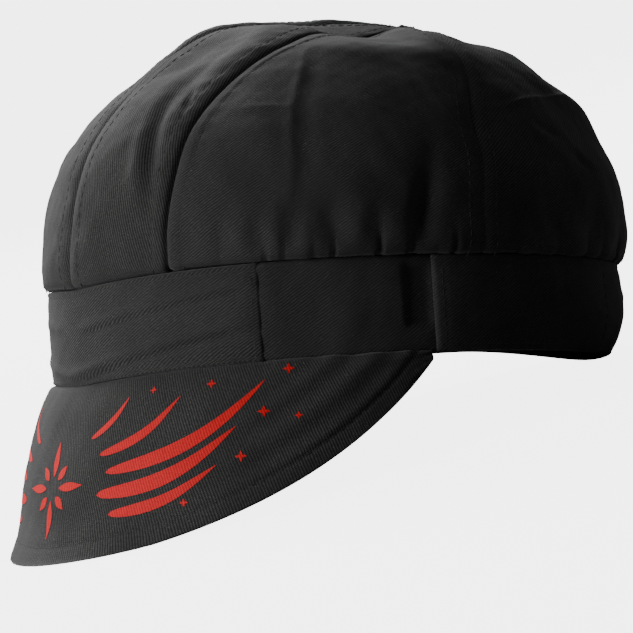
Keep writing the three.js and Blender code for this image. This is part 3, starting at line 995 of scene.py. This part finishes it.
visor_row_end = math.radians(70)
row_angles = np.linspace(-visor_row_end, visor_row_end, 400)
row_scale = visor_edge_distance(row_angles, 0 * row_angles)
row_down = 1 - VISOR_STITCH / row_scale
row_sink = visor_sink(row_angles, row_down) - THREAD_RISE
sew("visor_stitching", [visor_point(row_angles, row_down, row_sink)])

# The print: a fan of red sparks that flies back and up over each side of the visor, and a small burst
# in the middle. It is a thin skin of ink that lies on the cloth and takes the weave's grain.
INK_RISE = 0.10
INK_OUTWARD = (-0.07, 0.026)

ink, ink_nodes, ink_links, ink_finish = dull_material("visor_print", 0.7, 0.12)
ink_weave = ink_nodes.new("ShaderNodeGroup")
ink_weave.node_tree = twill_weave
fill_in(ink_weave, {"Lean": math.radians(108)})
ink_ramp = ink_nodes.new("ShaderNodeValToRGB")
ink_ramp.color_ramp.elements[0].color = (0.15, 0.0015, 0.0015, 1)
ink_ramp.color_ramp.elements[1].color = (0.36, 0.0045, 0.0060, 1)
ink_ramp.color_ramp.elements[0].position = 0.15
ink_bump = ink_nodes.new("ShaderNodeBump")
fill_in(ink_bump, {"Strength": 0.35, "Distance": 0.00012})
ink_links.new(ink_weave.outputs["Height"], ink_ramp.inputs[0])
ink_links.new(ink_ramp.outputs[0], ink_finish.inputs["Base Color"])
ink_links.new(ink_weave.outputs["Height"], ink_bump.inputs["Height"])
ink_links.new(ink_bump.outputs["Normal"], ink_finish.inputs["Normal"])

# Each streak: where it starts and ends, in millimetres round from the visor's middle and down from the
# band, how it bows and its greatest width. Each spark: its middle and its reach.
STREAKS = [
    ((25, 33), (77, 7), 6.5, 6.0),
    ((22, 40), (68, 22), 5.5, 6.4),
    ((27, 46.5), (62, 34), 3.5, 4.8),
    ((22, 27), (50, 10), 3.5, 4.2),
    ((17, 21), (31, 8), 1.8, 3.0),
]
SPARKS = [
    (84, 4, 1.9),
    (76, 18, 2.0),
    (69, 32, 1.8),
    (60, 7, 1.6),
    (52, 45, 1.4),
    (40, 7, 1.3),
    (86, 20, 1.3),
]
BURST = (0, 36)
BURST_RAYS = 8
RAY_WIDTH = 1.9
BURST_INNER = 4.0
BURST_OUTER = (15.5, 10.0)


def streak_outline(start, end, bow, width, side):
    """A tapered streak as rows of points from one of its edges to the other."""
    t = np.linspace(0, 1, 40)
    way = np.array(end, float) - start
    square = np.array([-way[1], way[0]]) / np.linalg.norm(way)
    middle = np.array(start) + t[:, None] * way + square * (bow * np.sin(math.pi * t))[:, None]
    half = width / 2 * t ** 0.45 * (1 - t) ** 0.85 * 1.75
    across = np.linspace(-1, 1, 5)
    grid = middle[:, None] + square * (half[:, None] * across)[..., None]
    return grid * np.array([side, 1])


def spark_outline(around, down, size, side):
    """A four-pointed spark as a ring of points round its middle."""
    turns = np.linspace(0, 2 * math.pi, 17)
    reach = size * (0.34 + 0.66 * np.abs(np.cos(2 * turns)) ** 3)
    ring = np.stack([around + reach * np.cos(turns), down + reach * np.sin(turns)], -1)
    middle = np.broadcast_to(np.array([around, down], float), ring.shape)
    return np.stack([middle, (middle + ring) / 2, ring]) * np.array([side, 1])


def ray_outline(turn, low, high):
    """One ray of the burst."""
    t = np.linspace(0, 1, 10)
    way = np.array([math.sin(turn), math.cos(turn)])
    square = np.array([way[1], -way[0]])
    middle = np.array(BURST) + (low + (high - low) * t)[:, None] * way
    half = RAY_WIDTH * np.sin(math.pi * np.clip(t, 0.02, 0.98)) ** 0.8 * (1 - 0.5 * t)
    return middle[:, None] + square * (half[:, None] * np.linspace(-1, 1, 4))[..., None]


def printed(name, outlines):
    """The print as one mesh, just proud of the visor's face."""
    points, faces, cuts = [], [], []
    for outline in outlines:
        angle = outline[..., 0] / visor_round * 2 * visor_end
        down = outline[..., 1] / visor_reach(angle)
        laid = visor_point(angle, down, visor_sink(angle, down) - INK_RISE)
        faces += grid_faces(outline.shape[:2], len(points)).tolist()
        points += lay_down(laid).reshape(-1, 3).tolist()
        cuts += (outline.reshape(-1, 2) * (1, -1) + (visor_round / 2, 0)).tolist()
    mesh, skin = cut_mesh(name, np.array(points), np.array(faces), np.array(cuts))
    for face in skin.faces:
        if face.normal.dot(Vector((face.calc_center_median().x, *INK_OUTWARD))) < 0:
            face.normal_flip()
    piece = sewn_up(mesh, skin, ink)
    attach(piece, "root")


outlines = []
for side in (1, -1):
    outlines += [streak_outline(*streak, side) for streak in STREAKS]
    outlines += [spark_outline(*spark, side) for spark in SPARKS]
for ray in range(BURST_RAYS):
    outlines.append(ray_outline(2 * math.pi * ray / BURST_RAYS, BURST_INNER, BURST_OUTER[ray % 2]))
printed("visor_print", outlines)

# The studio: a pale floor that curves up all round into a wall and shows white, and two large soft
# lights, one low before the cap's front and one high on the wearer's right.
FLOOR_RADIUS = 3.2
WALL_BEND = 1.6
WALL_HEIGHT = 3.4
FLOOR_TURNS = 96
FLOOR_GLOW = 4.6

bend = np.linspace(0, math.pi / 2, 17)
profile = [(r, 0.0) for r in np.linspace(0, FLOOR_RADIUS, 9)]
profile += [(FLOOR_RADIUS + WALL_BEND * math.sin(b), WALL_BEND * (1 - math.cos(b))) for b in bend[1:]]
profile.append((FLOOR_RADIUS + WALL_BEND, WALL_HEIGHT))
room = bmesh.new()
rings = [[room.verts.new((r * math.cos(a), r * math.sin(a), z))
          for a in np.linspace(0, 2 * math.pi, FLOOR_TURNS, endpoint=False)] for r, z in profile[1:]]
centre = room.verts.new((0, 0, 0))
for k in range(FLOOR_TURNS):
    following = (k + 1) % FLOOR_TURNS
    room.faces.new((centre, rings[0][k], rings[0][following]))
    for low, high in zip(rings[:-1], rings[1:]):
        room.faces.new((low[k], high[k], high[following], low[following]))
floor_mesh = bpy.data.meshes.new("studio_floor")
room.to_mesh(floor_mesh)
room.free()
floor_mesh.shade_smooth()
floor = laid_out("studio_floor", floor_mesh)
floor_paint, floor_nodes, floor_links, floor_finish = dull_material("studio_floor", 0.95, 0)
fill_in(floor_finish, {"Base Color": (0.20, 0.20, 0.20, 1), "Emission Color": (1, 1, 1, 1)})
seen_by = floor_nodes.new("ShaderNodeLightPath")
floor_glow = floor_nodes.new("ShaderNodeMath")
floor_glow.operation = "MULTIPLY"
floor_glow.inputs[1].default_value = FLOOR_GLOW
floor_links.new(seen_by.outputs["Is Camera Ray"], floor_glow.inputs[0])
floor_links.new(floor_glow.outputs[0], floor_finish.inputs["Emission Strength"])
floor_mesh.materials.append(floor_paint)

world = bpy.data.worlds.new("studio")
bpy.context.scene.world = world
world.use_nodes = True
fill_in(world.node_tree.nodes["Background"], {"Color": (1, 1, 1, 1), "Strength": 0.26})


def soft_light(name, place, size, power):
    """A square light that faces the cap."""
    data = bpy.data.lights.new(name, "AREA")
    data.size, data.energy = size, power
    facing = (-Vector(place)).to_track_quat("-Z", "Y").to_matrix().to_4x4()
    laid_out(name, data).matrix_world = Matrix.Translation(place) @ facing


soft_light("key_light", (-0.12, -1.9, 0.68), 1.1, 100)
soft_light("side_light", (-1.55, 0.25, 1.35), 1.1, 112)

# The camera, worked out from the photograph in the worn frame: where the band's middle shows, how far
# away it is, and how the picture is turned. Its axis goes through the picture's middle, so it has no shift.
PHOTO_SIZE = 633
FOCAL_PIXELS = 3261.6
ORIGIN_PIXEL = (343, 374)
PICTURE_ROLL = math.radians(-3.85)
VIEW_AZIMUTH = math.radians(34)
VIEW_ELEVATION = math.radians(-1.8)
VIEW_DISTANCE = 1142
SENSOR = 36

back = Vector((math.cos(VIEW_AZIMUTH) * math.cos(VIEW_ELEVATION),
               -math.sin(VIEW_AZIMUTH) * math.cos(VIEW_ELEVATION), math.sin(VIEW_ELEVATION)))
right = Vector((0, 0, 1)).cross(back).normalized()
above = back.cross(right)
off_x, off_y = (PHOTO_SIZE / 2 - pixel for pixel in ORIGIN_PIXEL)
plain_x = math.cos(PICTURE_ROLL) * off_x + math.sin(PICTURE_ROLL) * off_y
plain_y = math.cos(PICTURE_ROLL) * off_y - math.sin(PICTURE_ROLL) * off_x
axis = (-back + right * plain_x / FOCAL_PIXELS - above * plain_y / FOCAL_PIXELS).normalized()
level = right * math.cos(PICTURE_ROLL) + above * math.sin(PICTURE_ROLL)
level = (level - axis * level.dot(axis)).normalized()
tilt = Matrix.Rotation(-REST_TILT, 3, "X")
turned = [tilt @ way for way in (level, level.cross(axis) * -1, axis * -1)]
turned[1] = turned[2].cross(turned[0])
place = (tilt @ (back * VIEW_DISTANCE) + Vector(WORN_ORIGIN)) / 1000
camera_data = bpy.data.cameras.new("camera")
camera_data.sensor_width = SENSOR
camera_data.lens = FOCAL_PIXELS / PHOTO_SIZE * SENSOR
camera = laid_out("camera", camera_data)
camera.matrix_world = Matrix.Translation(place) @ Matrix(turned).transposed().to_4x4()
bpy.context.scene.camera = camera
